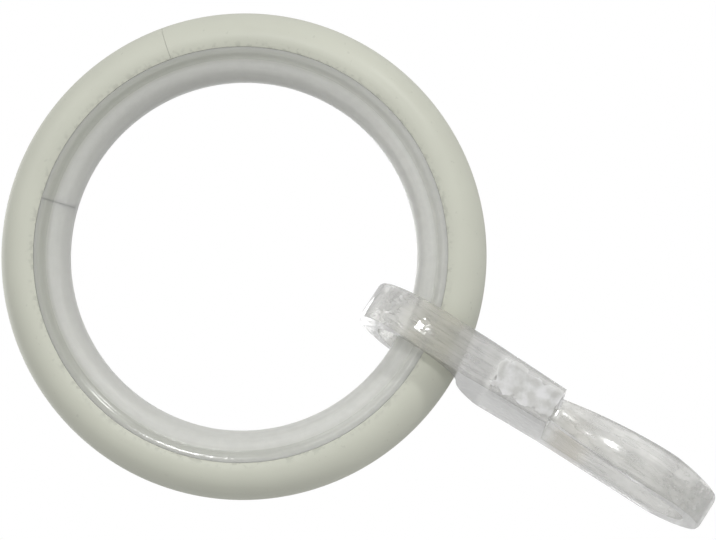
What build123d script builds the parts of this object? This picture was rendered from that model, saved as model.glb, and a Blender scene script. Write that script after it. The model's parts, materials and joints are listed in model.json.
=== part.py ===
from build123d import *
from math import cos, degrees, radians, sin, sqrt
import os

os.makedirs("parts", exist_ok=True)

# A curtain ring with its hook, in millimetres. The ring's centre is the origin, the pole runs along Y
# and Z points up. The hook hangs from the lowest part of the ring.

# Ring: a half-round metal shell outside, and a plastic liner inside that slides on the pole
outside_diameter = 55.0
bore_diameter = 39.4
ring_thickness = 7.4
sheet = 0.6
shell_lip_angle = 6.0  # how far each lip of the shell turns in past the crest, in degrees
shell_joint_gap = 0.08
shell_joint_angle = 51.7  # where the strip's ends meet, in degrees from +X towards +Z

# Liner: a snap-in channel whose legs spread under the shell
liner_fit = 0.05
liner_wall = 1.2
liner_belly = 4.2  # from the section's centre to the tip of the belly before the bore flattens it
liner_leg_angle = 38.0  # how far each leg reaches up under the shell, in degrees
liner_groove_radius = 0.55
liner_groove_depth = 0.28
liner_groove_angle = 117.0  # from the ring's outer side, in degrees
liner_joint_gap = 0.15
liner_joint_angle = 106.1

# Hook: one clear moulding of three parts, an eye round the ring, a block below it and a lower loop
hang_angle = 8.1  # how far round from the lowest point the hook hangs, in degrees towards +X
hook_turn = 10.3  # how far the hook has turned about its own upright axis, in degrees
hook_width = 5.0
eye_clearance = 1.32  # room round the ring's section, which lets the hook turn and swing
eye_seat = 0.6  # between the ring's outside and the bottom of the eye
eye_wall = 1.0
crown_wall = 2.6
crown_rise = 6.5
crown_width = 4.45
crown_corner = 0.6
eye_tip_drop = 0.8  # how far the eye's free end reaches down past its axis
eye_tip_round = 0.45
shoulder_fall = 2.85
shoulder_round = 1.2
block_length = 11.35
block_end_width = 4.5

# Hood: the pocket in the block's lower end that keeps the tongue's tip
hood_wall = 0.85
pocket_depth = 5.2
pocket_length = 7.6
pocket_round = 1.2

# Lower loop: a straight spine behind, a round bend below and a springy tongue in front
loop_length = 20.3
spine = 2.6
heel_radius = 5.6
tongue = 1.9
tongue_bulge = 0.7  # how far the tongue stands out past the block's front
tip_thickness = 1.2
tip_width = 2.7
tip_reach = 1.3  # how far the tip goes up into the hood
tip_gap = 0.3  # between the tip and the hood, in front and at each side
window_round = 3.6
loop_width = 4.7  # at the widest part of the bend
widest_rise = 6.0  # how far the widest part lies above the toe
toe_width = 3.8
toe_round = 0.45
spine_joint = 3.0  # how far the spine runs up inside the block

# The ring's section, drawn with the radius along x and the pole along y
section_radius = (outside_diameter - ring_thickness) / 2
crest = ring_thickness / 2
bore_radius = bore_diameter / 2
under_sheet = crest - sheet - liner_fit
lip_angle = 90 + shell_lip_angle
far = ring_thickness  # reaches past the section from its centre


def section_plane(angle):
    """The upright plane through the pole's axis that stands at an angle round the ring."""
    turn = radians(angle)
    return Plane(origin=(0, 0, 0), x_dir=(cos(turn), 0, sin(turn)), z_dir=(-sin(turn), 0, cos(turn)))


def ray(angle):
    """A far point of the section, at an angle from its outer side."""
    turn = radians(angle)
    return (section_radius + far * cos(turn), far * sin(turn))


def arc_degrees(gap, radius):
    """The turn that leaves a gap of a given width open at a radius."""
    return 360 - degrees(gap / radius)


# Ring shell: strip rolled to a half round, bent to a ring, with its ends butted
with BuildPart() as ring_shell:
    with BuildSketch(section_plane(shell_joint_angle)):
        with Locations((section_radius, 0)):
            Circle(crest)
            Circle(crest - sheet, mode=Mode.SUBTRACT)
        inward = section_radius - far
        upper = ray(lip_angle)
        lower = ray(-lip_angle)
        Polygon(
            (section_radius, 0), upper, (inward, far), (inward, -far), lower,
            align=None, mode=Mode.SUBTRACT,
        )
    revolve(axis=Axis.Y, revolution_arc=arc_degrees(shell_joint_gap, section_radius))
ring_shell.part.label = "ring_shell"
export_step(ring_shell.part, "parts/ring_shell.step")

# Glide liner: a rounded belly with a flat land at the bore, a groove beside each lip, and two legs
with BuildPart() as glide_liner:
    with BuildSketch(section_plane(liner_joint_angle)):
        outward = section_radius + far
        seat_angle = lip_angle + degrees(liner_fit / (crest - sheet))
        leg_angle = lip_angle - liner_leg_angle
        with Locations((section_radius, 0)):
            Ellipse(liner_belly, crest)
        with Locations((bore_radius, 0)):
            Rectangle(far, 2 * far, align=(Align.MAX, Align.CENTER), mode=Mode.SUBTRACT)
        Polygon(
            (section_radius, 0), ray(seat_angle), (outward, far), (outward, -far), ray(-seat_angle),
            align=None, mode=Mode.SUBTRACT,
        )
        groove_centre = crest + liner_groove_radius - liner_groove_depth
        for side in (1, -1):
            turn = radians(side * liner_groove_angle)
            with Locations((section_radius + groove_centre * cos(turn), groove_centre * sin(turn))):
                Circle(liner_groove_radius, mode=Mode.SUBTRACT)
        with Locations((section_radius, 0)):
            Circle(under_sheet)
            Circle(under_sheet - liner_wall, mode=Mode.SUBTRACT)
        Polygon(
            (section_radius, 0), ray(leg_angle), (outward, far), (outward, -far), ray(-leg_angle),
            align=None, mode=Mode.SUBTRACT,
        )
    revolve(axis=Axis.Y, revolution_arc=arc_degrees(liner_joint_gap, bore_radius))
glide_liner.part.label = "glide_liner"
export_step(glide_liner.part, "parts/glide_liner.step")

# The hook's planes meet at the axis of its eye, whose bottom lies just under the ring
hang = radians(hang_angle)
turned = radians(hook_turn)
outside_radius = outside_diameter / 2
eye_radius = max(ring_thickness, outside_radius - bore_radius) / 2 + eye_clearance
hang_radius = outside_radius + eye_seat - eye_radius
eye_centre = (hang_radius * sin(hang), 0, -hang_radius * cos(hang))
across = (cos(turned), sin(turned), 0)
forward = (sin(turned), -cos(turned), 0)
side_plane = Plane(origin=eye_centre, x_dir=forward, z_dir=(-cos(turned), -sin(turned), 0))
front_plane = Plane(origin=eye_centre, x_dir=across, z_dir=forward)

front = eye_radius + eye_wall
back = -front
crown_top = eye_radius + crown_wall
crown_base = crown_top - crown_rise
shoulder = -eye_radius - shoulder_fall
block_end = -eye_radius - block_length
toe = block_end - loop_length
pocket_front = front - hood_wall
pocket_width = tip_width + 2 * tip_gap
spine_face = back + spine
spine_top = block_end + spine_joint
bend_radius = front + tongue_bulge - back - heel_radius
bend_x = back + heel_radius
bend_y = toe + bend_radius
window_radius = bend_radius - tongue
window_low = bend_y - sqrt(window_radius**2 - (spine_face - bend_x) ** 2)
widest = toe + widest_rise
tip_front = pocket_front - tip_gap
tip_back = tip_front - tip_thickness
tip_top = block_end + tip_reach
side_to_side = Axis(eye_centre, across)


def seen_from_side(x, y):
    """The place of a point that is drawn on the hook's side view."""
    return side_plane.from_local_coords((x, y, 0))


# Lower loop: drawn from the side, then narrowed from the front, where the tongue tapers to its tip
with BuildPart() as lower_loop:
    with BuildSketch(side_plane):
        with BuildLine():
            Line((back, spine_top), (back, toe + heel_radius))
            RadiusArc((back, toe + heel_radius), (bend_x, toe), -heel_radius)
            RadiusArc((bend_x, toe), (bend_x + bend_radius, bend_y), -bend_radius)
            TangentArc((bend_x + bend_radius, bend_y), (tip_front, block_end), tangent=(0, 1))
            Polyline(
                (tip_front, block_end), (tip_front, tip_top), (spine_face, tip_top),
                (spine_face, spine_top), (back, spine_top),
            )
        make_face()
        with BuildLine():
            Polyline((spine_face, window_low), (spine_face, tip_top), (tip_back, tip_top), (tip_back, block_end))
            TangentArc((bend_x + window_radius, bend_y), (tip_back, block_end), tangent=(0, 1))
            RadiusArc((bend_x + window_radius, bend_y), (spine_face, window_low), window_radius)
        make_face(mode=Mode.SUBTRACT)
    extrude(amount=hook_width / 2, both=True)
    upright_edges = lower_loop.edges().filter_by(side_to_side)
    fillet(upright_edges.sort_by_distance(seen_from_side(spine_face, window_low))[0], window_round)
    with BuildSketch(front_plane) as leaf:
        with BuildLine():
            Polyline(
                (0, toe), (toe_width / 2, toe), (loop_width / 2, widest),
                (block_end_width / 2, block_end), (block_end_width / 2, spine_top), (0, spine_top),
            )
            mirror(about=Plane.YZ)
        make_face()
        fillet(leaf.vertices().group_by(Axis.Y)[0], toe_round)
    extrude(amount=2 * front, both=True, mode=Mode.INTERSECT)
    with BuildSketch(front_plane):
        with BuildLine():
            TangentArc((loop_width / 2, widest), (tip_width / 2, block_end), tangent=(0, 1))
            Polyline(
                (tip_width / 2, block_end), (tip_width / 2, tip_top), (hook_width, tip_top),
                (hook_width, widest), (loop_width / 2, widest),
            )
        make_face()
        mirror(about=Plane.YZ)
    extrude(amount=2 * front, mode=Mode.SUBTRACT)

# Hook: the eye wraps the ring and opens behind it, over the block's rounded shoulder
with BuildPart() as hook:
    with BuildSketch(side_plane):
        with Locations((0, crown_base)):
            Ellipse(front, crown_rise)
            Rectangle(2 * front, crown_base - block_end, align=(Align.CENTER, Align.MAX))
        Circle(eye_radius, mode=Mode.SUBTRACT)
        with BuildLine():
            TangentArc((0, -eye_radius), (back, shoulder), tangent=(-1, 0))
            Polyline(
                (back, shoulder), (2 * back, shoulder), (2 * back, -eye_tip_drop),
                (0, -eye_tip_drop), (0, -eye_radius),
            )
        make_face(mode=Mode.SUBTRACT)
    extrude(amount=hook_width / 2, both=True)
    upright_edges = hook.edges().filter_by(side_to_side)
    fillet(upright_edges.sort_by_distance(seen_from_side(back, shoulder))[0], shoulder_round)
    upright_edges = hook.edges().filter_by(side_to_side)
    fillet(upright_edges.sort_by_distance(seen_from_side(back, -eye_tip_drop))[0:2], eye_tip_round)
    with BuildSketch(front_plane) as face:
        with BuildLine():
            Polyline(
                (0, crown_top), (crown_width / 2, crown_top), (hook_width / 2, 0),
                (hook_width / 2, -eye_radius), (block_end_width / 2, block_end), (0, block_end),
            )
            mirror(about=Plane.YZ)
        make_face()
        fillet(face.vertices().group_by(Axis.Y)[-1], crown_corner)
    extrude(amount=2 * front, both=True, mode=Mode.INTERSECT)
    with BuildSketch(side_plane) as pocket:
        with Locations((pocket_front, block_end)):
            Rectangle(pocket_depth, pocket_length, align=(Align.MAX, Align.MIN))
        fillet(pocket.vertices().group_by(Axis.Y)[-1], pocket_round)
    extrude(amount=pocket_width / 2, both=True, mode=Mode.SUBTRACT)
    add(lower_loop.part)
hook.part.label = "hook"
export_step(hook.part, "parts/hook.step")
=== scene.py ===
import json
from math import acos, asin, cos, pi, radians, sin, sqrt, tan

import bmesh
import bpy
from bpy.props import FloatProperty, FloatVectorProperty, IntProperty, PointerProperty
from mathutils import Matrix, Vector


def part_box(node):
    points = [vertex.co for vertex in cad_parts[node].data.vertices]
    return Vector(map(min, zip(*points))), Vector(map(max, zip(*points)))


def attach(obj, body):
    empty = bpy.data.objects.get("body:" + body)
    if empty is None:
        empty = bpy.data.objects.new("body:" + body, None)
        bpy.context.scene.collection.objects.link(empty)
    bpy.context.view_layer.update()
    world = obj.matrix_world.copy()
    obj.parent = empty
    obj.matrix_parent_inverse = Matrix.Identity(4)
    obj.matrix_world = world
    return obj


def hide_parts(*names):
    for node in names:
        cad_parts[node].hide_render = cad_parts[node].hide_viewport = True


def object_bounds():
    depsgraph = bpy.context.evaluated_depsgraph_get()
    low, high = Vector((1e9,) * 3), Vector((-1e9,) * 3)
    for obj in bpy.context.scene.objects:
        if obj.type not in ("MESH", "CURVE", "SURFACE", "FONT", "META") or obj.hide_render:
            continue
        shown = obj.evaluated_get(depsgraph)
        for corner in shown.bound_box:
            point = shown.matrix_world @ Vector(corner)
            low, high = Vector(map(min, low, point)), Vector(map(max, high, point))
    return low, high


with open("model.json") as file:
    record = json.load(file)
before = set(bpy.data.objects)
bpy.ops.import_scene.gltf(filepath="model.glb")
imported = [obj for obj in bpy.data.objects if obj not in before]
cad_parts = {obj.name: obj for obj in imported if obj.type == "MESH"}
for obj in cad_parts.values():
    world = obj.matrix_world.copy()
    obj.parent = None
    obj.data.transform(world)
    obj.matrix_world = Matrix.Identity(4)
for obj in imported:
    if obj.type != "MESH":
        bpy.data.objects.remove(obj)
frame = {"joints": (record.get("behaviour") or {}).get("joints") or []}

bl_info = {
    "name": "Curtain ring",
    "version": (1, 0, 0),
    "blender": (4, 5, 0),
    "location": "3D View > Sidebar > Curtain ring",
    "description": "Builds a coated curtain ring with its glide liner and clear hook on the packed frame",
    "category": "Add Mesh",
}

MM = 0.001

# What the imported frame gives: its box, the ring's outside and the axis that the hook swings on
CAD_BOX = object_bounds()
SHELL_LOW, SHELL_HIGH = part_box("ring_shell")
SWING = frame["joints"][0]

# The hook's own directions, which meet at the middle of its eye
EYE_CENTRE = Vector(SWING["pos_m"])
ACROSS = Vector(SWING["axis"]).normalized()
UPWARDS = Vector((0, 0, 1))
FORWARD = ACROSS.cross(UPWARDS)

# Mesh making: how close points are one, which edges count as sharp, and the steps of bevels and curves
MERGE = 0.001 * MM
SHARP_EDGE = radians(32)
SHARP_SHADING = radians(40)
EDGE_SEGMENTS = 3
POCKET_SEGMENTS = 5
WINDOW_STEPS = 16
INNER_BEND_STEPS = 12
TONGUE_STEPS = 16
BEND_STEPS = 24
HEEL_STEPS = 10
SHOULDER_EDGE_STEPS = 6
SHOULDER_STEPS = 12
EYE_STEPS = 64
CROWN_STEPS = 40
FLOOR_STEPS = 96

# Where the ring's finishes change, in millimetres from the pole's axis
WORN_LIP = (23.0, 25.0)
LINER_FACE = (20.0, 24.0)

# Where the hook's finish changes, in millimetres: its painted side shade under the eye's bottom, its stain
# under the block, and its painted ring tint and dome from the middle of the eye
SHADED_SIDE = (-4.0, 6.0)
STAIN_REACH = 8.0
PAINTED_RING_TINT_HEIGHTS = (-7.0, 5.0)
DOME_FOOT = -2.7
DOME_RIDGE = -0.4

# The hook's relief in millimetres, the dome's curve across and upwards, and how far the frost wanders
RIPPLE = 0.006
BLOCK_RIPPLE = 0.03
DOME_ACROSS = 0.035
DOME_UPWARDS = 0.01
WANDER = 2.4

# How far both plastics bend light
PLASTIC_IOR = 1.49

# How far a finish that belongs to a face of the hook reaches past it
POCKET_SKIN = 0.05 * MM
SPINE_SKIN = 0.1 * MM

# The stage: a floor below the hook, the light that the white surroundings throw on the pieces, and lamps
# by name, place, width in metres and power in watts
FLOOR_RADIUS = 0.35
FLOOR_DROP = 0.03
WORLD_LIGHT = 0.42
LAMPS = (
    ("flash_lamp", (0.32, -0.81, 0.20), 0.03, 1.6),
    ("side_lamp", (0.70, -0.54, -0.03), 0.07, 1.85),
    ("sky_lamp", (0.09, -0.54, 0.70), 0.60, 1.5),
    ("back_lamp", (-0.25, 0.75, 0.40), 0.60, 2.5),
)

# The photograph's frame, in pixels, and how the camera stands to it
PHOTO_WIDTH = 716
PHOTO_HEIGHT = 540
RING_PIXEL_X = 242.5
RING_PIXEL_Y = 255.5
PIXELS_PER_METRE = 8883.0
HANG_SLOPE = radians(32.2)
CAMERA_DISTANCE = 0.5
CAMERA_BELOW = radians(7.0)
CAMERA_ASIDE = radians(0.3)
CAMERA_NEAREST = 0.01
CAMERA_FARTHEST = 10
SENSOR = 36.0


def length(name, description, size):
    """A length that a user can change, given in metres."""
    return FloatProperty(name=name, description=description, default=size, min=0, unit="LENGTH", precision=5)


def angle(name, description, turn):
    """An angle that a user can change, given in degrees."""
    return FloatProperty(name=name, description=description, default=radians(turn), subtype="ANGLE")


def colour(name, description, red, green, blue):
    """A surface colour that a user can change."""
    return FloatVectorProperty(
        name=name, description=description, default=(red, green, blue), min=0, max=1, subtype="COLOR"
    )


class RingSizes(bpy.types.PropertyGroup):
    """Sizes of the coated shell and of the liner inside it."""

    outside_radius: length("Outside radius", "From the pole's axis to the shell's rim", SHELL_HIGH.x)
    thickness: length("Thickness", "Along the pole", SHELL_HIGH.y - SHELL_LOW.y)
    bore_radius: length("Bore radius", "Clear of the liner, for the pole", 19.7 * MM)
    sheet: length("Sheet", "Thickness of the rolled strip", 0.6 * MM)
    lip_round: length("Lip round", "Rounding of the strip's edges under the coat", 0.02 * MM)
    crest_reach: length("Crest reach", "From the section's crest out to the rim", 3.1 * MM)
    lip_angle: angle("Lip angle", "How far each lip turns in past the crest", 19.15)
    shell_joint: angle("Shell joint", "Where the strip's ends meet, from X towards Z", 51.7)
    shell_gap: length("Shell gap", "Between the strip's ends", 0.03 * MM)
    seat_angle: angle("Seat angle", "How far past the crest the liner meets the lip", 6.3)
    liner_fit: length("Liner fit", "Between the liner's legs and the shell", 0.16 * MM)
    liner_wall: length("Liner wall", "Thickness of the liner's legs", 1.2 * MM)
    liner_belly: length("Liner belly", "From the section's centre to the belly's tip", 4.2 * MM)
    liner_leg: angle("Liner leg", "How far each leg reaches under the shell", 38.0)
    edge_drop: length("Edge drop", "From the full belly down to the liner's edge beside the lip", 0.175 * MM)
    groove_depth: length("Groove depth", "Of the valley beside each edge", 0.32 * MM)
    groove_angle: angle("Groove angle", "From the ring's outer side to the valley", 112.5)
    groove_wall: angle("Groove wall", "From the valley out to its edge", 8.5)
    groove_spread: angle("Groove spread", "From the valley in to the full belly", 28.0)
    liner_joint: angle("Liner joint", "Where the liner's ends meet, from X towards Z", 106.1)
    liner_gap: length("Liner gap", "Between the liner's ends", 0.01 * MM)
    section_steps: IntProperty(name="Section steps", description="Steps round a section", default=72, min=8)
    ring_steps: IntProperty(name="Ring steps", description="Steps round the ring", default=288, min=24)


class HookSizes(bpy.types.PropertyGroup):
    """Sizes of the clear hook, measured from the axis of its eye."""

    width: length("Width", "Across the eye", 5.0 * MM)
    eye_radius: length("Eye radius", "Inside of the eye", 5.22 * MM)
    eye_wall: length("Eye wall", "In front of and behind the eye", 1.0 * MM)
    crown_wall: length("Crown wall", "Over the eye", 2.6 * MM)
    crown_rise: length("Crown rise", "Height of the crown's curve", 6.5 * MM)
    crown_width: length("Crown width", "Across the top of the crown", 4.45 * MM)
    crown_corner: length("Crown corner", "Rounding of the crown seen from the front", 0.6 * MM)
    tip_drop: length("Eye tip drop", "How far the eye's free end reaches past its axis", 0.8 * MM)
    shoulder_fall: length("Shoulder fall", "From the eye down to the shoulder's edge", 2.85 * MM)
    shoulder_round: length("Shoulder round", "Rounding of the shoulder's edge", 1.2 * MM)
    block_length: length("Block length", "From the eye down to the block's end", 11.35 * MM)
    block_width: length("Block end width", "Across the block's end", 4.5 * MM)
    hood_wall: length("Hood wall", "In front of the pocket", 0.85 * MM)
    pocket_depth: length("Pocket depth", "From front to back", 5.2 * MM)
    pocket_length: length("Pocket length", "Up into the block", 7.6 * MM)
    pocket_width: length("Pocket width", "From side to side", 3.3 * MM)
    pocket_round: length("Pocket round", "Rounding of the pocket's end", 1.2 * MM)
    loop_length: length("Loop length", "From the block's end to the toe", 20.3 * MM)
    spine: length("Spine", "Thickness of the straight spine", 2.6 * MM)
    heel_radius: length("Heel radius", "Round the foot of the spine", 5.6 * MM)
    tongue: length("Tongue", "Thickness of the bend", 1.9 * MM)
    tongue_bulge: length("Tongue bulge", "How far the bend stands past the block", 0.7 * MM)
    tip_thickness: length("Tip thickness", "From front to back of the tongue's tip", 1.2 * MM)
    tip_width: length("Tip width", "Across the tongue's tip", 2.7 * MM)
    tip_reach: length("Tip reach", "Up into the pocket", 1.3 * MM)
    tip_gap: length("Tip gap", "Between the tip and the hood", 0.3 * MM)
    window_round: length("Window round", "Rounding at the foot of the window", 3.6 * MM)
    loop_width: length("Loop width", "Across the widest part of the bend", 4.7 * MM)
    widest_rise: length("Widest rise", "From the toe up to the widest part", 6.0 * MM)
    toe_width: length("Toe width", "Across the toe", 3.8 * MM)
    toe_round: length("Toe round", "Rounding of the toe seen from the front", 0.45 * MM)
    edge_round: length("Edge round", "Rounding of the moulded edges", 0.05 * MM)


class Colours(bpy.types.PropertyGroup):
    """Colours of the finishes."""

    cream: colour("Cream", "The shell's coat", 0.60, 0.61, 0.525)
    milky: colour("Milky", "The liner's plastic", 0.785, 0.79, 0.75)
    # The grey of the painted shade in the liner's valleys.
    valley: colour("Valley", "The grey of the liner's valleys", 0.46, 0.475, 0.405)
    clear: colour("Clear", "Tint of the hook's plastic", 0.84, 0.84, 0.81)
    stain: colour("Stain", "The brown of the spine below the block", 0.46, 0.41, 0.31)
    # A painted warm tint where the cream ring shows through the hook's eye.
    painted_ring_tint: colour("Aged", "The yellow of the hook's eye", 0.68, 0.655, 0.52)
    # The white of the painted glints at the pocket.
    painted_glint_white: colour("Frost", "The sparkle at the pocket", 0.97, 0.97, 0.98)
    floor: colour("Floor", "The studio floor", 0.86, 0.86, 0.86)


class CurtainRing(bpy.types.PropertyGroup):
    """Everything that a user can change."""

    ring: PointerProperty(type=RingSizes)
    hook: PointerProperty(type=HookSizes)
    colours: PointerProperty(type=Colours)


class Wire:
    """An output of a shader node, so that shader maths reads as arithmetic."""

    def __init__(self, finish, socket):
        self.finish = finish
        self.socket = socket

    def maths(self, operation, *terms):
        return self.finish.node("ShaderNodeMath", {"operation": operation}, dict(enumerate(terms)))

    def __add__(self, other):
        return self.maths("ADD", self, other)

    def __radd__(self, other):
        return self.maths("ADD", other, self)

    def __sub__(self, other):
        return self.maths("SUBTRACT", self, other)

    def __rsub__(self, other):
        return self.maths("SUBTRACT", other, self)

    def __mul__(self, other):
        return self.maths("MULTIPLY", self, other)

    def __rmul__(self, other):
        return self.maths("MULTIPLY", other, self)

    def __truediv__(self, other):
        return self.maths("DIVIDE", self, other)

    def __rtruediv__(self, other):
        return self.maths("DIVIDE", other, self)

    def __pow__(self, other):
        return self.maths("POWER", self, other)

    def __rpow__(self, other):
        return self.maths("POWER", other, self)

    def __neg__(self):
        return self.maths("SUBTRACT", 0.0, self)

    def __abs__(self):
        return self.maths("ABSOLUTE", self)

    def at_least(self, limit):
        return self.maths("MAXIMUM", self, limit)

    def at_most(self, limit):
        return self.maths("MINIMUM", self, limit)

    def over(self, limit):
        """1 where the value is over a limit, and 0 elsewhere."""
        return self.maths("GREATER_THAN", self, limit)


class Finish:
    """A node tree in the making, whose nodes all come from one method."""

    def __init__(self, tree):
        self.tree = tree
        self.tree.nodes.clear()

    def node(self, kind, settings=None, inputs=None, output=0):
        made = self.tree.nodes.new(kind)
        for name, setting in (settings or {}).items():
            if name == "stops":
                self.set_stops(made.color_ramp, setting)
            else:
                setattr(made, name, setting)
        for name, value in (inputs or {}).items():
            if isinstance(value, Wire):
                self.tree.links.new(value.socket, made.inputs[name])
            else:
                made.inputs[name].default_value = value
        return Wire(self, made.outputs[output]) if made.outputs else None

    def set_stops(self, ramp, stops):
        while len(ramp.elements) < len(stops):
            ramp.elements.new(1.0)
        for element, (place, shade) in zip(ramp.elements, stops):
            element.position = place
            element.color = (shade, shade, shade, 1.0)

    def ramp(self, value, *stops):
        """A value eased through grey stops, each a place and a shade."""
        return self.node("ShaderNodeValToRGB", {"stops": stops}, {"Fac": value})

    def span(self, value, low, high):
        """How far a value has come from one number to another, as a share."""
        return (value - low) / (high - low)

    def place(self):
        """The place on the piece, as three values in millimetres."""
        coords = self.node("ShaderNodeTexCoord", output="Object")
        inputs = {"Vector": coords}
        return [self.node("ShaderNodeSeparateXYZ", inputs=inputs, output=axis) / MM for axis in "XYZ"]

    def vector(self, x, y, z):
        return self.node("ShaderNodeCombineXYZ", inputs={"X": x, "Y": y, "Z": z})

    def noise(self, vector, scale=1.0, detail=3.0):
        """Soft noise from 0 to 1, whose scale counts waves to a millimetre of the vector."""
        return self.node("ShaderNodeTexNoise", inputs={"Vector": vector, "Scale": scale, "Detail": detail})

    def blend(self, factor, first, second):
        """A colour between two others."""
        settings = {"data_type": "RGBA", "clamp_factor": True}
        return self.node("ShaderNodeMix", settings, {0: factor, 6: rgba(first), 7: rgba(second)}, 2)

    def bump(self, height, strength, distance):
        inputs = {"Height": height, "Strength": strength, "Distance": distance}
        return self.node("ShaderNodeBump", inputs=inputs)

    def facing(self):
        """How far a surface turns away from the viewer, from 0 to 1."""
        return self.node("ShaderNodeLayerWeight", inputs={"Blend": 0.5}, output="Facing")

    def shader(self, **inputs):
        """A surface shader. An input is named with _ for each space."""
        named = {name.replace("_", " "): value for name, value in inputs.items()}
        return self.node("ShaderNodeBsdfPrincipled", inputs=named)

    def surface(self, shader):
        """Ends the tree."""
        self.node("ShaderNodeOutputMaterial", inputs={"Surface": shader})


def rgba(shade):
    """A colour for a socket: a wire as it is, or three numbers with full alpha."""
    return shade if isinstance(shade, Wire) else (*shade, 1.0)


def dimmed(shade, share):
    """A colour times a share, which darkens it when the share is under 1."""
    return tuple(part * share for part in shade)


def new_finish(name):
    """A new material, and its node tree to fill."""
    material = bpy.data.materials.new(name)
    material.use_nodes = True
    return material, Finish(material.node_tree)


def from_pole(x, z):
    """How far a place lies from the pole's axis."""
    return (x * x + z * z) ** 0.5


def ring_coordinates(finish, joint):
    """Millimetres out from the pole's axis and along it, and the turn round the ring, 0 opposite a joint."""
    x, y, z = finish.place()
    turned_x = x * -cos(joint) + z * -sin(joint)
    turned_z = z * -cos(joint) + x * sin(joint)
    turn = turned_z.maths("ARCTAN2", turned_z, turned_x)
    return from_pole(x, z), y, turn


def cream_coat(settings):
    """Satin cream paint over steel strip, a little uneven, with fine flecks and worn lips."""
    material, finish = new_finish("cream_coat")
    cream = settings.colours.cream
    x, y, z = finish.place()
    spot = finish.vector(x, y, z)
    cloud = finish.noise(spot, scale=0.12, detail=2.0)
    grain = finish.noise(spot, scale=2.6, detail=4.0)
    tone = finish.ramp(cloud, (0.35, 0.0), (0.65, 1.0))
    base = finish.blend(tone, dimmed(cream, 0.96), cream)
    fleck = finish.noise(spot, scale=1.7, detail=2.0).over(0.72)
    base = finish.blend(fleck * 0.2, base, dimmed(cream, 0.6))
    lip = finish.ramp(finish.span(from_pole(x, z), *WORN_LIP), (0.25, 1.0), (0.6, 0.0))
    worn = finish.ramp(finish.noise(spot, scale=1.6), (0.5, 0.0), (0.62, 1.0))
    base = finish.blend(lip * worn * 0.4, base, dimmed(cream, 0.6))
    finish.surface(finish.shader(
        Base_Color=base,
        Roughness=0.36 + 0.08 * grain + 0.3 * finish.facing() ** 3,
        Specular_IOR_Level=0.25,
        Normal=finish.bump(grain * 0.25 + cloud, 0.25, 0.03 * MM),
    ))
    return material


def milky_plastic(settings):
    """Translucent milky plastic, streaked, scuffed on its land, with painted shade in its valleys and
    towards its joint.
    """
    material, finish = new_finish("milky_plastic")
    milky = settings.colours.milky
    radius, along, turn = ring_coordinates(finish, settings.ring.liner_joint)
    streak = finish.noise(finish.vector(radius * 1.6, along * 1.6, turn * 1.2))
    cloud = finish.noise(finish.vector(radius * 0.4, along * 0.4, turn * 2.4), detail=2.0)
    crumple = finish.noise(finish.vector(*finish.place()), scale=1.1, detail=2.0)
    mottle = finish.ramp(crumple, (0.38, 0.0), (0.62, 1.0))
    tone = finish.ramp(streak, (0.35, 0.0), (0.65, 1.0)) * 0.4 + mottle * 0.3 + cloud * 0.3
    base = finish.blend(tone, dimmed(milky, 0.86), dimmed(milky, 1.02))
    # Painted shade, darker towards the liner's joint.
    painted_shade_near_joint = finish.ramp(abs(turn) / pi, (0.25, 0.0), (0.7, 1.0))
    base = finish.blend(painted_shade_near_joint * 0.6, base, dimmed(milky, 0.78))
    # Painted shade in the valleys beside the liner's edges, deeper towards the joint.
    outwards = finish.span(radius, *LINER_FACE)
    valley = finish.ramp(outwards, (0.40, 0.0), (0.54, 1.0), (0.74, 1.0), (0.84, 0.5))
    base = finish.blend(valley * (0.25 + 0.35 * painted_shade_near_joint), base, settings.colours.valley)
    scuffed = finish.ramp(outwards, (0.42, 1.0), (0.54, 0.0))
    finish.surface(finish.shader(
        Base_Color=base,
        Roughness=0.14 + 0.12 * streak + 0.26 * scuffed,
        IOR=PLASTIC_IOR,
        Transmission_Weight=0.2,
        Subsurface_Weight=0.7,
        Subsurface_Radius=(1.0, 1.0, 0.95),
        Subsurface_Scale=1.6 * MM,
        Normal=finish.bump(streak * 0.015 + crumple * 0.03, 1.0, MM),
    ))
    return material


def hook_coordinates(finish):
    """Millimetres from the middle of the eye: along its axis, forwards and upwards."""
    x, y, z = (part - middle / MM for part, middle in zip(finish.place(), EYE_CENTRE))
    return x * ACROSS.x + y * ACROSS.y, x * FORWARD.x + y * FORWARD.y, z


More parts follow.
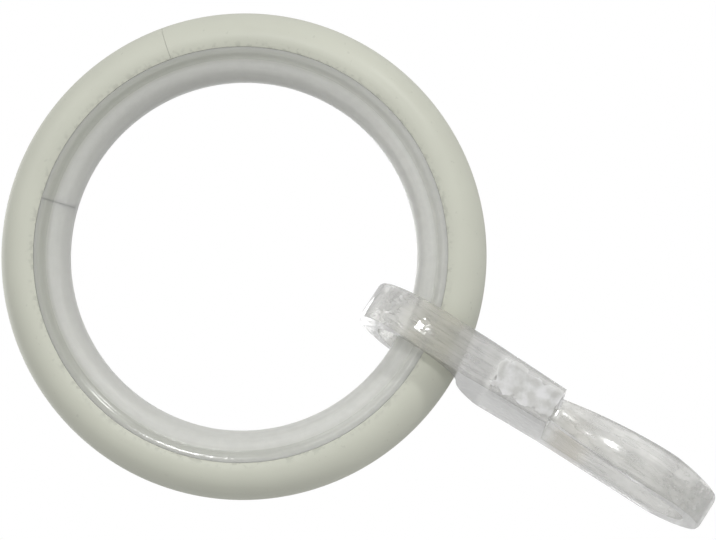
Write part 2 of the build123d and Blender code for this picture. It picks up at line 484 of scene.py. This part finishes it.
def clear_tint(finish, colours, hook, where, flow, patch):
    """The hook's colour: cloudy with flow lines that are partly painted reflections, painted shade on its
    sides and edges, a stain under the block, and a painted tint of the cream ring seen through the eye.
    """
    across, forward, height = where
    clear = colours.clear
    # Cloudy tone and thin dark flow lines, which also stand in as painted reflections of darker surroundings
    # seen through the plastic.
    tone = finish.ramp(flow * 0.4 + patch * 0.6, (0.38, 0.0), (0.62, 1.0))
    base = finish.blend(tone, dimmed(clear, 0.76), dimmed(clear, 1.04))
    line = finish.ramp(flow, (0.45, 0.0), (0.48, 1.0), (0.51, 0.0))
    base = finish.blend(line * 0.5, base, dimmed(clear, 0.5))
    # Painted shade along both sides, deeper further below the eye.
    half_width = hook.sizes.width / 2 / MM
    side = finish.ramp(abs(across) / half_width, (0.76, 0.0), (0.92, 1.0))
    below_eye = -height - hook.sizes.eye_radius / MM
    shade = finish.ramp(finish.span(below_eye, *SHADED_SIDE), (0.0, 0.3), (1.0, 0.9))
    base = finish.blend(side * shade, base, dimmed(clear, 0.5))
    below_block = hook.block_end / MM - height
    stain = finish.ramp(below_block / STAIN_REACH, (0.05, 0.0), (0.2, 1.0), (0.45, 1.0), (0.75, 0.0))
    on_spine = 1 - forward.over((hook.spine_face + SPINE_SKIN) / MM)
    base = finish.blend(stain * on_spine * patch, base, colours.stain)
    # Painted show-through: a warm tint round the eye, where the cream ring lies behind the plastic.
    round_eye = finish.span(height, *PAINTED_RING_TINT_HEIGHTS)
    painted_ring_tint_share = finish.ramp(round_eye, (0.1, 0.0), (0.35, 1.0), (0.65, 1.0), (0.95, 0.0))
    base = finish.blend(painted_ring_tint_share * patch * 0.6, base, colours.painted_ring_tint)
    # Painted shade: darker at the edges, where the surface turns away from the viewer.
    return finish.blend(finish.facing() ** 3, base, dimmed(clear, 0.15))


def clear_relief(finish, hook, across, height, spot, flow):
    """Fine ripples, deeper on the block, on a slight dome."""
    on_block = 1 - (hook.block_end / MM - height).over(0.0)
    ripple = finish.noise(spot, scale=1.3, detail=2.0) * (RIPPLE + on_block * BLOCK_RIPPLE)
    lean = across - DOME_RIDGE
    rise = (height - DOME_FOOT).at_least(0.0)
    dome = lean * lean * DOME_ACROSS + rise * rise * DOME_UPWARDS
    return finish.bump(ripple + flow * RIPPLE - dome, 1.0, MM)


def at_pocket(finish, hook, where, spot):
    """1 at the pocket and the wall in front of it, with a wandering edge, and 0 elsewhere."""
    across, forward, height = where
    wander = (finish.noise(spot, scale=0.8) - 0.5) * WANDER
    inside = 1.0
    for place, (low, high) in zip((across + wander, forward, height + wander), hook.pocket_box()):
        inside = place.over(low / MM) * (1 - place.over(high / MM)) * inside
    return inside


def clear_plastic(settings, hook):
    """Clear moulded plastic with flow lines along the hook, partly painted reflections, and frosting at the
    pocket with painted glints.
    """
    material, finish = new_finish("clear_plastic")
    colours = settings.colours
    where = hook_coordinates(finish)
    across, forward, height = where
    spot = finish.vector(across, forward, height)
    flow = finish.noise(finish.vector(across * 1.6, forward * 1.6, height * 0.08), detail=2.0)
    patch = finish.noise(finish.vector(across * 0.5, forward * 0.5, height * 0.4))
    relief = clear_relief(finish, hook, across, height, spot, flow)
    plain = finish.shader(
        Base_Color=clear_tint(finish, colours, hook, where, flow, patch),
        Roughness=0.05 + 0.1 * patch,
        IOR=PLASTIC_IOR,
        Transmission_Weight=0.6,
        Alpha=0.8,
        Normal=relief,
    )
    # Painted glints: white sparkle on the pocket's rough frosting.
    sparkle = finish.ramp(finish.noise(spot, scale=0.8), (0.38, 0.0), (0.64, 1.0))
    frost_with_painted_glints = finish.shader(
        Base_Color=finish.blend(sparkle, dimmed(colours.clear, 0.78), colours.painted_glint_white),
        Roughness=0.25,
        IOR=PLASTIC_IOR,
        Transmission_Weight=0.35,
        Alpha=0.8,
        Normal=relief,
    )
    # The pocket and the wall in front of it take the frosting and its painted glints.
    share = at_pocket(finish, hook, where, spot) * 0.9
    finish.surface(finish.node("ShaderNodeMixShader", inputs={0: share, 1: plain, 2: frost_with_painted_glints}))
    return material


def studio_floor(settings):
    """A matt pale floor."""
    material, finish = new_finish("studio_floor")
    pale = settings.colours.floor
    cloud = finish.noise(finish.vector(*finish.place()), scale=0.01, detail=2.0)
    base = finish.blend(cloud, dimmed(pale, 0.98), pale)
    finish.surface(finish.shader(Base_Color=base, Roughness=0.9, Specular_IOR_Level=0.2))
    return material


class Pen:
    """Draws an outline in a bmesh, point after point, on the plane of x and y."""

    def __init__(self, mesh, x, y):
        self.mesh = mesh
        self.tip = mesh.verts.new((x, y, 0))

    def line(self, x, y):
        """A straight run to a point."""
        made = bmesh.ops.extrude_vert_indiv(self.mesh, verts=[self.tip])
        self.tip = made["verts"][0]
        self.tip.co = Vector((x, y, 0))

    def arc(self, x, y, turn, steps, squeeze=(1, 1)):
        """An arc about a centre, by an angle that counts from x towards y, then squeezed along x and y."""
        centre = Vector((x, y, 0))
        known = set(self.mesh.verts)
        made = bmesh.ops.spin(
            self.mesh, geom=[self.tip], cent=centre, axis=(0, 0, 1), angle=turn, steps=steps,
            use_duplicate=False,
        )
        self.tip = made["geom_last"][0]
        drawn = [vert for vert in self.mesh.verts if vert not in known]
        bmesh.ops.scale(self.mesh, verts=drawn, vec=(*squeeze, 1), space=Matrix.Translation(-centre))

    def close(self):
        """Joins the outline's ends and fills it with one face."""
        bmesh.ops.remove_doubles(self.mesh, verts=self.mesh.verts[:], dist=MERGE)
        bmesh.ops.contextual_create(self.mesh, geom=self.mesh.edges[:])


def all_of(mesh):
    """Every vertex, edge and face of a mesh."""
    return [*mesh.verts, *mesh.edges, *mesh.faces]


def nearest(parts, place, middle):
    """The part of a mesh whose middle lies nearest to a place."""
    return min(parts, key=lambda part: (middle(part) - Vector(place)).length)


def face_middle(face):
    return face.calc_center_median()


def edge_middle(edge):
    return (edge.verts[0].co + edge.verts[1].co) / 2


def vert_middle(vert):
    return vert.co


def rounded(mesh, geom, offset, segments, affect="EDGES"):
    """Rounds edges or corners, by less than the offset where there isn't room for it."""
    bmesh.ops.bevel(
        mesh, geom=geom, offset=offset, offset_type="OFFSET", segments=segments, profile=0.5,
        affect=affect, material=-1, clamp_overlap=True,
    )


def drawn_out(mesh, face, move):
    """Draws a face out of its mesh by a move, with new faces along its edges."""
    made = bmesh.ops.extrude_face_region(mesh, geom=[face, *face.edges])
    moved = [part for part in made["geom"] if isinstance(part, bmesh.types.BMVert)]
    bmesh.ops.translate(mesh, verts=moved, vec=move)


def revolved(mesh, joint, gap, radius, steps):
    """Turns a section round the pole's axis, from one side of a joint to the other."""
    bmesh.ops.rotate(mesh, verts=mesh.verts[:], cent=(0, 0, 0), matrix=Matrix.Rotation(-joint, 3, "Y"))
    bmesh.ops.spin(
        mesh, geom=all_of(mesh), cent=(0, 0, 0), axis=(0, 1, 0), angle=2 * pi - gap / radius, steps=steps,
        use_merge=False, use_duplicate=False,
    )


def new_piece(mesh, name, material):
    """Makes an object of a closed mesh, with soft shading that keeps flat faces flat."""
    bmesh.ops.recalc_face_normals(mesh, faces=mesh.faces[:])
    data = bpy.data.meshes.new(name)
    mesh.to_mesh(data)
    mesh.free()
    data.materials.append(material)
    data.shade_smooth()
    data.set_sharp_from_angle(angle=SHARP_SHADING)
    piece = bpy.data.objects.new(name, data)
    bpy.context.scene.collection.objects.link(piece)
    soft = piece.modifiers.new("soft_edges", "WEIGHTED_NORMAL")
    soft.keep_sharp = True
    return piece


class MakeShell(bpy.types.Operator):
    """Makes the coated shell: a half-round strip, bent to a ring with its ends butted"""

    bl_idname = "curtain_ring.make_shell"
    bl_label = "Coated shell"

    def execute(self, context):
        settings = context.scene.curtain_ring
        sizes = settings.ring
        crest = sizes.thickness / 2
        centre = sizes.outside_radius - sizes.crest_reach
        lip = pi / 2 + sizes.lip_angle
        mesh = bmesh.new()
        pen = Pen(mesh, centre + crest * cos(lip), -crest * sin(lip))
        pen.arc(centre, 0, 2 * lip, sizes.section_steps)
        inner = crest - sizes.sheet
        pen.line(centre + inner * cos(lip), inner * sin(lip))
        pen.arc(centre, 0, -2 * lip, sizes.section_steps)
        pen.line(centre + crest * cos(lip), -crest * sin(lip))
        pen.close()
        lips = [
            nearest(mesh.verts, (centre + part * cos(lip), side * part * sin(lip), 0), vert_middle)
            for part in (crest, inner) for side in (1, -1)
        ]
        rounded(mesh, lips, sizes.lip_round, EDGE_SEGMENTS, affect="VERTICES")
        flatter = (sizes.crest_reach / crest, 1, 1)
        bmesh.ops.scale(mesh, verts=mesh.verts[:], vec=flatter, space=Matrix.Translation((-centre, 0, 0)))
        revolved(mesh, sizes.shell_joint, sizes.shell_gap, centre, sizes.ring_steps)
        piece = new_piece(mesh, "coated_shell", cream_coat(settings))
        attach(piece, "ring")
        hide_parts("ring_shell")
        return {"FINISHED"}


class MakeLiner(bpy.types.Operator):
    """Makes the glide liner: a rounded belly with a flat land at the bore, and two legs under the shell"""

    bl_idname = "curtain_ring.make_liner"
    bl_label = "Glide liner"

    def execute(self, context):
        settings = context.scene.curtain_ring
        sizes = settings.ring
        crest = sizes.thickness / 2
        centre = sizes.outside_radius - crest
        under_sheet = crest - sizes.sheet - sizes.liner_fit
        hollow = under_sheet - sizes.liner_wall
        seat = pi / 2 + sizes.seat_angle
        leg = seat - sizes.liner_leg
        leg_steps = sizes.section_steps // 6
        hollow_steps = sizes.section_steps // 2
        mesh = bmesh.new()
        pen = Pen(mesh, centre + under_sheet * cos(leg), under_sheet * sin(leg))
        pen.arc(centre, 0, seat - leg, leg_steps)
        pen.line(centre + crest * cos(seat), crest * sin(seat))
        belly_start = len(mesh.verts)
        pen.arc(centre, 0, 2 * (pi - seat), sizes.section_steps)
        mesh.verts.ensure_lookup_table()
        belly = mesh.verts[belly_start - 1:]
        self.shape_belly(belly, sizes, centre)
        pen.line(centre + under_sheet * cos(seat), -under_sheet * sin(seat))
        pen.arc(centre, 0, seat - leg, leg_steps)
        pen.line(centre + hollow * cos(leg), -hollow * sin(leg))
        pen.arc(centre, 0, 2 * (leg - pi), hollow_steps)
        pen.line(centre + under_sheet * cos(leg), under_sheet * sin(leg))
        pen.close()
        revolved(mesh, sizes.liner_joint, sizes.liner_gap, sizes.bore_radius, sizes.ring_steps)
        piece = new_piece(mesh, "milky_liner", milky_plastic(settings))
        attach(piece, "ring")
        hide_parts("glide_liner")
        return {"FINISHED"}

    def shape_belly(self, belly, sizes, centre):
        """Draws the belly out to an ellipse, sinks a valley beside each edge and flattens the land."""
        crest = sizes.thickness / 2
        outwards = Vector((1, 0))
        for vert in belly:
            past = Vector((vert.co.x - centre, vert.co.y)).angle(outwards) - sizes.groove_angle
            rest, width = (0, sizes.groove_spread) if past > 0 else (sizes.edge_drop, sizes.groove_wall)
            share = (1 + cos(pi * min(1, abs(past) / width))) / 2
            reach = 1 - (rest + (sizes.groove_depth - rest) * share) / crest
            drawn = centre + (vert.co.x - centre) * reach * sizes.liner_belly / crest
            vert.co.x = max(sizes.bore_radius, drawn)
            vert.co.y *= reach


class MakeHook(bpy.types.Operator):
    """Makes the clear hook: an eye round the ring, a block with a pocket, a spine, a bend and a tongue"""

    bl_idname = "curtain_ring.make_hook"
    bl_label = "Clear hook"

    def execute(self, context):
        settings = context.scene.curtain_ring
        self.work_out(settings.hook)
        mesh = bmesh.new()
        self.draw_side(mesh)
        made = bmesh.ops.extrude_face_region(mesh, geom=mesh.faces[:])
        far_side = [part for part in made["geom"] if isinstance(part, bmesh.types.BMVert)]
        bmesh.ops.translate(mesh, verts=far_side, vec=(0, 0, settings.hook.width))
        bmesh.ops.translate(mesh, verts=mesh.verts[:], vec=(0, 0, -settings.hook.width / 2))
        self.narrow(mesh)
        self.raise_tip(mesh)
        self.sink_pocket(mesh)
        self.round_edges(mesh)
        bmesh.ops.transform(mesh, matrix=self.hang(), verts=mesh.verts[:])
        piece = new_piece(mesh, "clear_hook", clear_plastic(settings, self))
        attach(piece, "hook")
        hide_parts("hook")
        return {"FINISHED"}

    def work_out(self, sizes):
        """The side view's places, from the sizes."""
        self.sizes = sizes
        self.front = sizes.eye_radius + sizes.eye_wall
        self.back = -self.front
        self.crown_top = sizes.eye_radius + sizes.crown_wall
        self.crown_base = self.crown_top - sizes.crown_rise
        self.neck = -sizes.eye_radius - sizes.eye_wall
        self.block_end = -sizes.eye_radius - sizes.block_length
        self.toe = self.block_end - sizes.loop_length
        self.pocket_front = self.front - sizes.hood_wall
        self.pocket_back = self.pocket_front - sizes.pocket_depth
        self.spine_face = self.back + sizes.spine
        self.bend_radius = self.front + sizes.tongue_bulge - self.back - sizes.heel_radius
        self.bend_x = self.back + sizes.heel_radius
        self.bend_y = self.toe + self.bend_radius
        self.window_radius = self.bend_radius - sizes.tongue
        self.tip_front = self.pocket_front - sizes.tip_gap
        self.tip_back = self.tip_front - sizes.tip_thickness
        self.tongue_end = self.block_end - sizes.tip_gap
        self.widest = self.toe + sizes.widest_rise
        self.side_wall = (sizes.block_width - sizes.pocket_width) / 2

    def pocket_box(self):
        """The pocket and the wall in front of it: from side to side, from back to front, and upwards."""
        side = self.sizes.pocket_width / 2
        sideways = (-side, side)
        forwards = (self.pocket_back, self.front)
        upwards = (self.block_end, self.block_end + self.sizes.pocket_length)
        return [(low - POCKET_SKIN, high + POCKET_SKIN) for low, high in (sideways, forwards, upwards)]

    def draw_side(self, mesh):
        """The outline seen from the side, all but the tongue's tip, which goes up into the pocket."""
        sizes = self.sizes
        pen = Pen(mesh, self.front, self.crown_base)
        rim_front = self.pocket_front + self.side_wall
        rim_back = self.pocket_back - self.side_wall
        for x in (self.front, rim_front, rim_back, self.spine_face):
            pen.line(x, self.block_end)
        round_x = self.spine_face + sizes.window_round
        reach = self.window_radius - sizes.window_round
        dip = acos((round_x - self.bend_x) / reach)
        round_y = self.bend_y - reach * sin(dip)
        pen.line(self.spine_face, round_y)
        pen.arc(round_x, round_y, pi - dip, WINDOW_STEPS)
        pen.arc(self.bend_x, self.bend_y, dip, INNER_BEND_STEPS)
        self.tongue_arc(pen, self.bend_x + self.window_radius, self.tip_back, 1)
        pen.line(self.tip_front, self.tongue_end)
        self.tongue_arc(pen, self.bend_x + self.bend_radius, self.tip_front, -1)
        pen.arc(self.bend_x, self.bend_y, -pi / 2, BEND_STEPS)
        pen.arc(self.bend_x, self.toe + sizes.heel_radius, -pi / 2, HEEL_STEPS)
        self.shoulder_arcs(pen)
        pen.arc(0, 0, 3 * pi / 2 + asin(sizes.tip_drop / sizes.eye_radius), EYE_STEPS)
        pen.line(self.back, -sizes.tip_drop)
        pen.line(self.back, self.crown_base)
        pen.arc(0, self.crown_base, -pi, CROWN_STEPS, (1, sizes.crown_rise / self.front))
        pen.close()

    def shoulder_arcs(self, pen):
        """The shoulder's rounded edge behind, and its wide arc up to the eye."""
        sizes = self.sizes
        radius = (self.front**2 + sizes.shoulder_fall**2) / (2 * sizes.shoulder_fall)
        middle = -sizes.eye_radius - radius
        edge_x = self.back + sizes.shoulder_round
        lean = asin(-edge_x / (radius - sizes.shoulder_round))
        edge_y = middle + (radius - sizes.shoulder_round) * cos(lean)
        pen.line(self.back, edge_y)
        pen.arc(edge_x, edge_y, lean - pi / 2, SHOULDER_EDGE_STEPS)
        pen.arc(0, middle, -lean, SHOULDER_STEPS)

    def tongue_arc(self, pen, bend_x, tip_x, way):
        """One face of the tongue: a wide arc from the bend up to the tip (1), or from the tip down (-1)."""
        lean = bend_x - tip_x
        rise = self.tongue_end - self.bend_y
        radius = (lean**2 + rise**2) / (2 * lean)
        pen.arc(bend_x - radius, self.bend_y, way * asin(rise / radius), TONGUE_STEPS)

    def half_width(self, x, y):
        """Half of the hook's width at a place seen from the side."""
        sizes = self.sizes
        if y > 0:
            full = self.between(y, 0, self.crown_top, sizes.width, sizes.crown_width)
            return full - self.corner(self.crown_top - y, sizes.crown_corner)
        if y > self.neck:
            return sizes.width / 2
        if y > self.tongue_end + sizes.tip_gap / 2:
            return self.between(y, self.block_end, self.neck, sizes.block_width, sizes.width)
        if y > self.widest and x > (self.spine_face + self.tip_back) / 2:
            taper = (sizes.loop_width - sizes.tip_width) / 2
            radius = ((self.block_end - self.widest) ** 2 + taper**2) / (2 * taper)
            return sizes.loop_width / 2 - radius + sqrt(radius**2 - (y - self.widest) ** 2)
        if y > self.widest:
            return self.between(y, self.widest, self.block_end, sizes.loop_width, sizes.block_width)
        full = self.between(y, self.toe, self.widest, sizes.toe_width, sizes.loop_width)
        return full - self.corner(y - self.toe, sizes.toe_round)

    def between(self, y, low, high, low_width, high_width):
        """Half of a width that changes evenly from one height to another."""
        return (low_width + (high_width - low_width) * (y - low) / (high - low)) / 2

    def corner(self, depth, size):
        """How far a rounded corner draws a side in, at a depth from the corner's end."""
        near = max(0, size - depth)
        return size - sqrt(max(0, size**2 - near**2))

    def narrow(self, mesh):
        """Cuts the sides where the taper changes, and brings them in to the hook's real width."""
        crown_side = self.crown_top - self.sizes.crown_corner
        toe_side = self.toe + self.sizes.toe_round
        for level in (crown_side, 0, self.neck, self.block_end, self.widest, toe_side):
            bmesh.ops.bisect_plane(
                mesh, geom=all_of(mesh), dist=MERGE, plane_co=(0, level, 0), plane_no=(0, 1, 0)
            )
        for vert in mesh.verts:
            side = 1 if vert.co.z > 0 else -1
            vert.co.z = side * self.half_width(vert.co.x, vert.co.y)

    def raise_tip(self, mesh):
        """Draws the tongue's end up into the place of the pocket."""
        middle = (self.tip_front + self.tip_back) / 2
        tip = nearest(mesh.faces, (middle, self.tongue_end, 0), face_middle)
        drawn_out(mesh, tip, (0, self.sizes.tip_reach + self.sizes.tip_gap, 0))

    def sink_pocket(self, mesh):
        """Sinks the pocket into the block's end, with a rounded end."""
        sizes = self.sizes
        middle = (self.pocket_front + self.pocket_back) / 2
        mouth = nearest(mesh.faces, (middle, self.block_end, 0), face_middle)
        bmesh.ops.inset_region(mesh, faces=[mouth], thickness=self.side_wall, use_even_offset=True)
        drawn_out(mesh, mouth, (0, sizes.pocket_length, 0))
        high = self.block_end + sizes.pocket_length
        places = [(x, high, 0) for x in (self.pocket_front, self.pocket_back)]
        ends = [nearest(mesh.edges, place, edge_middle) for place in places]
        rounded(mesh, ends, sizes.pocket_round, POCKET_SEGMENTS)

    def round_edges(self, mesh):
        """Rounds the moulded edges."""
        sharp = [edge for edge in mesh.edges if edge.is_manifold and edge.calc_face_angle() > SHARP_EDGE]
        rounded(mesh, sharp, self.sizes.edge_round, EDGE_SEGMENTS)

    def hang(self):
        """Takes the side view's x to the hook's front and its y upwards, at the middle of the eye."""
        turn = Matrix((FORWARD, UPWARDS, -ACROSS)).transposed().to_4x4()
        return Matrix.Translation(EYE_CENTRE) @ turn


class MakeStage(bpy.types.Operator):
    """Makes the floor, the lamps, the white surroundings and the camera"""

    bl_idname = "curtain_ring.make_stage"
    bl_label = "Stage"

    def execute(self, context):
        self.make_floor(context.scene)
        self.make_world(context.scene)
        self.make_lamps(context.scene)
        self.make_camera(context.scene)
        context.scene.view_settings.view_transform = "Standard"
        return {"FINISHED"}

    def make_floor(self, scene):
        mesh = bmesh.new()
        bmesh.ops.create_circle(mesh, cap_ends=True, segments=FLOOR_STEPS, radius=FLOOR_RADIUS)
        bmesh.ops.translate(mesh, verts=mesh.verts[:], vec=(0, 0, CAD_BOX[0].z - FLOOR_DROP))
        data = bpy.data.meshes.new("floor")
        mesh.to_mesh(data)
        mesh.free()
        data.materials.append(studio_floor(scene.curtain_ring))
        floor = bpy.data.objects.new("floor", data)
        scene.collection.objects.link(floor)

    def make_world(self, scene):
        """White to look at, in gloss and through the plastic, and a dimmer light on the pieces."""
        world = bpy.data.worlds.new("white_studio")
        world.use_nodes = True
        scene.world = world
        finish = Finish(world.node_tree)
        seen = sum(
            finish.node("ShaderNodeLightPath", output=ray)
            for ray in ("Is Camera Ray", "Is Glossy Ray", "Is Transmission Ray")
        )
        strength = WORLD_LIGHT + seen.at_most(1.0) * (1 - WORLD_LIGHT)
        white = finish.node("ShaderNodeBackground", inputs={"Color": (1, 1, 1, 1), "Strength": strength})
        finish.node("ShaderNodeOutputWorld", inputs={"Surface": white})

    def make_lamps(self, scene):
        """Round lamps, all turned to the ring's centre."""
        for name, place, width, power in LAMPS:
            data = bpy.data.lights.new(name, "AREA")
            data.shape = "DISK"
            data.size = width
            data.energy = power
            lamp = bpy.data.objects.new(name, data)
            scene.collection.objects.link(lamp)
            lamp.location = place
            lamp.rotation_euler = (-Vector(place)).to_track_quat("-Z", "Y").to_euler()

    def make_camera(self, scene):
        """Looks along the pole from a little below it, rolled so that the hook points to the lower right."""
        data = bpy.data.cameras.new("photo_camera")
        camera = bpy.data.objects.new("photo_camera", data)
        scene.collection.objects.link(camera)
        image_right = Vector((sin(HANG_SLOPE), 0, -cos(HANG_SLOPE)))
        image_up = Vector((cos(HANG_SLOPE), 0, sin(HANG_SLOPE)))
        right_of_ring = (PHOTO_WIDTH / 2 - RING_PIXEL_X) / PIXELS_PER_METRE
        below_ring = (PHOTO_HEIGHT / 2 - RING_PIXEL_Y) / PIXELS_PER_METRE
        aim = image_right * right_of_ring - image_up * below_ring
        stand = Vector((tan(CAMERA_ASIDE), -1, -tan(CAMERA_BELOW))) * CAMERA_DISTANCE
        back = (stand - aim).normalized()
        up = (image_up - back * image_up.dot(back)).normalized()
        right = up.cross(back)
        camera.matrix_world = Matrix.Translation(stand) @ Matrix((right, up, back)).transposed().to_4x4()
        data.sensor_width = SENSOR
        data.lens = SENSOR * (stand - aim).length * PIXELS_PER_METRE / PHOTO_WIDTH
        data.clip_start = CAMERA_NEAREST
        data.clip_end = CAMERA_FARTHEST
        scene.camera = camera


PIECES = (MakeShell, MakeLiner, MakeHook, MakeStage)


class CurtainRingPanel(bpy.types.Panel):
    """The sidebar's list of sizes, colours and pieces"""

    bl_idname = "VIEW3D_PT_curtain_ring"
    bl_label = "Curtain ring"
    bl_space_type = "VIEW_3D"
    bl_region_type = "UI"
    bl_category = "Curtain ring"

    def draw(self, context):
        settings = context.scene.curtain_ring
        for group in (settings.ring, settings.hook, settings.colours):
            box = self.layout.box()
            for name in group.__annotations__:
                box.prop(group, name)
        for piece in PIECES:
            self.layout.operator(piece.bl_idname)


CLASSES = (RingSizes, HookSizes, Colours, CurtainRing, *PIECES, CurtainRingPanel)


def register():
    for kind in CLASSES:
        bpy.utils.register_class(kind)
    bpy.types.Scene.curtain_ring = PointerProperty(type=CurtainRing)


def unregister():
    del bpy.types.Scene.curtain_ring
    for kind in reversed(CLASSES):
        bpy.utils.unregister_class(kind)


def main():
    register()
    bpy.ops.curtain_ring.make_shell()
    bpy.ops.curtain_ring.make_liner()
    bpy.ops.curtain_ring.make_hook()
    bpy.ops.curtain_ring.make_stage()


if __name__ == "__main__":
    main()
